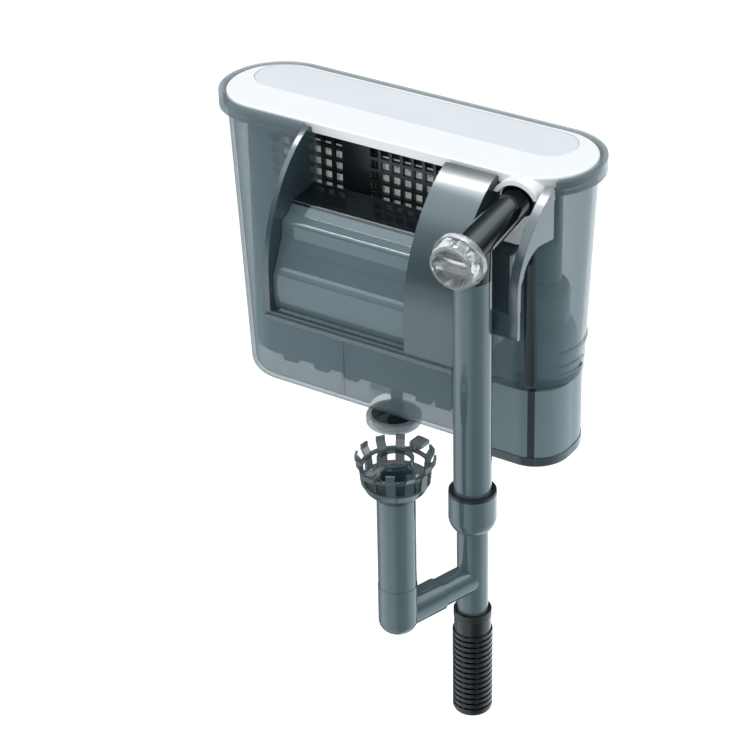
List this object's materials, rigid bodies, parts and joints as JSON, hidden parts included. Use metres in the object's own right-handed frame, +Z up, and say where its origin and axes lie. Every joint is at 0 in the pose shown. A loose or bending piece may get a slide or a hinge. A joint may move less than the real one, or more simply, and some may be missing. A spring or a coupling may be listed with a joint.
{
  "type": "hang on back aquarium filter",
  "caption": "Slim oval aquarium filter that hooks over a tank rim, with a waterfall outlet, lift-off lid, telescopic intake with strainer and surface skimmer.",
  "frame": {"origin": "middle of the top edge of the tank glass, where the bridge rests on it", "axes": "+Z up, +Y away from the tank, +X along the tank wall towards the pump"},
  "size_m": [0.2, 0.1633, 0.2641],
  "materials": {
    "smoke_clear": "gloss",
    "smoke_gloss": "gloss",
    "smoke_tube": "gloss",
    "smoke_dark": "gloss",
    "motor_grey": "satin",
    "black_gloss": "gloss",
    "black_matte": "matte",
    "black_rubber": "matte",
    "white_gloss": "gloss",
    "pale_grey": "satin",
    "clear": "gloss",
    "fleece": "matte",
    "steel": "brushed",
    "copper": "enamelled wire",
    "magnet": "matte"
  },
  "bodies": {
    "case": {"filter_case": "smoke_clear", "outlet_hood": "smoke_gloss", "spillway": "smoke_clear", "intake_arm": "black_gloss", "arm_seal": "black_rubber", "intake_tube": "smoke_tube", "suction_pipe": "smoke_dark", "impeller_cover": "smoke_dark", "upper_bush": "black_rubber", "levelling_pin": "smoke_dark"},
    "lid": {"lid": "white_gloss", "lid_panel": "pale_grey"},
    "basket": {"media_basket": "smoke_dark", "centre_guide": "black_gloss"},
    "cartridge_left": {"cartridge_frame_left": "black_matte", "filter_pad_left": "fleece", "cartridge_bar_left": "black_matte"},
    "cartridge_right": {"cartridge_frame_right": "black_matte", "filter_pad_right": "fleece", "cartridge_bar_right": "black_matte"},
    "regulator": {"flow_knob": "clear", "flow_valve": "clear", "valve_stem": "clear"},
    "collar": {"telescope_collar": "smoke_tube", "collar_seal": "black_rubber"},
    "lower_tube": {"telescope_tube": "smoke_tube"},
    "strainer": {"strainer": "black_gloss", "strainer_cap": "black_gloss", "strainer_seal": "black_rubber"},
    "skimmer_arm": {"skimmer_elbow": "smoke_tube", "skimmer_tube": "smoke_tube"},
    "skimmer_head": {"skimmer_basket": "smoke_gloss"},
    "skimmer_ring": {"skimmer_ring": "smoke_gloss"},
    "motor": {"motor_housing": "motor_grey", "motor_seal": "black_rubber", "motor_cap": "smoke_dark", "rotor_well": "black_matte", "stator_core": "steel", "stator_coil": "copper", "cable_gland": "black_rubber", "rotor_shaft": "steel", "lower_bush": "black_rubber"},
    "rotor": {"impeller": "black_matte", "rotor_magnet": "magnet"},
    "leveller": {"levelling_wheel": "smoke_dark", "levelling_tread": "clear"}
  },
  "joints": [
    {"name": "lid_lift", "type": "slide", "parent": "case", "child": "lid", "axis": [0, 0, 1], "range_m": [0, 0.2]},
    {"name": "basket_lift", "type": "slide", "parent": "case", "child": "basket", "axis": [0, 0, 1], "range_m": [0, 0.06]},
    {"name": "left_cartridge_lift", "type": "slide", "parent": "basket", "child": "cartridge_left", "axis": [0, 0, 1], "range_m": [0, 0.1]},
    {"name": "right_cartridge_lift", "type": "slide", "parent": "basket", "child": "cartridge_right", "axis": [0, 0, 1], "range_m": [0, 0.1]},
    {"name": "flow_regulator_turn", "type": "hinge", "parent": "case", "child": "regulator", "pos_m": [0.0735, 0, 0.0237], "axis": [0, -0.9903, -0.1392], "range_deg": [0, 90]},
    {"name": "intake_swivel", "type": "hinge", "parent": "case", "child": "collar", "pos_m": [0.0735, -0.0352, -0.1064], "axis": [0, 0, 1], "range_deg": [-45, 110]},
    {"name": "telescope_slide", "type": "slide", "parent": "collar", "child": "lower_tube", "axis": [0, 0, 1], "range_m": [-0.03, 0.015]},
    {"name": "strainer_pull", "type": "slide", "parent": "lower_tube", "child": "strainer", "axis": [0, 0, -1], "range_m": [0, 0.03]},
    {"name": "skimmer_arm_tilt", "type": "hinge", "parent": "lower_tube", "child": "skimmer_arm", "pos_m": [0.0605, -0.079, -0.1528], "axis": [-0.2845, -0.9587, 0], "range_deg": [-30, 30]},
    {"name": "skimmer_height", "type": "slide", "parent": "skimmer_arm", "child": "skimmer_head", "axis": [0, 0, 1], "range_m": [-0.006, 0.004]},
    {"name": "skimmer_ring_lift", "type": "slide", "parent": "skimmer_head", "child": "skimmer_ring", "axis": [0, 0, 1], "range_m": [0, 0.012]},
    {"name": "motor_release", "type": "slide", "parent": "case", "child": "motor", "axis": [0, 0, -1], "range_m": [0, 0.04]},
    {"name": "impeller_spin", "type": "hinge", "parent": "motor", "child": "rotor", "pos_m": [0.0735, 0.03, -0.07], "axis": [0, 0, 1], "continuous": true},
    {"name": "levelling_turn", "type": "hinge", "parent": "case", "child": "leveller", "pos_m": [-0.0005, 0.0175, -0.1164], "axis": [0, 0, 1], "range_deg": [-90, 90]}
  ],
  "couplings": [
    {"joint": "basket_lift", "follows": "lid_lift", "ratio": 0.3},
    {"joint": "left_cartridge_lift", "follows": "lid_lift", "ratio": 0.5},
    {"joint": "right_cartridge_lift", "follows": "lid_lift", "ratio": 0.5}
  ]
}
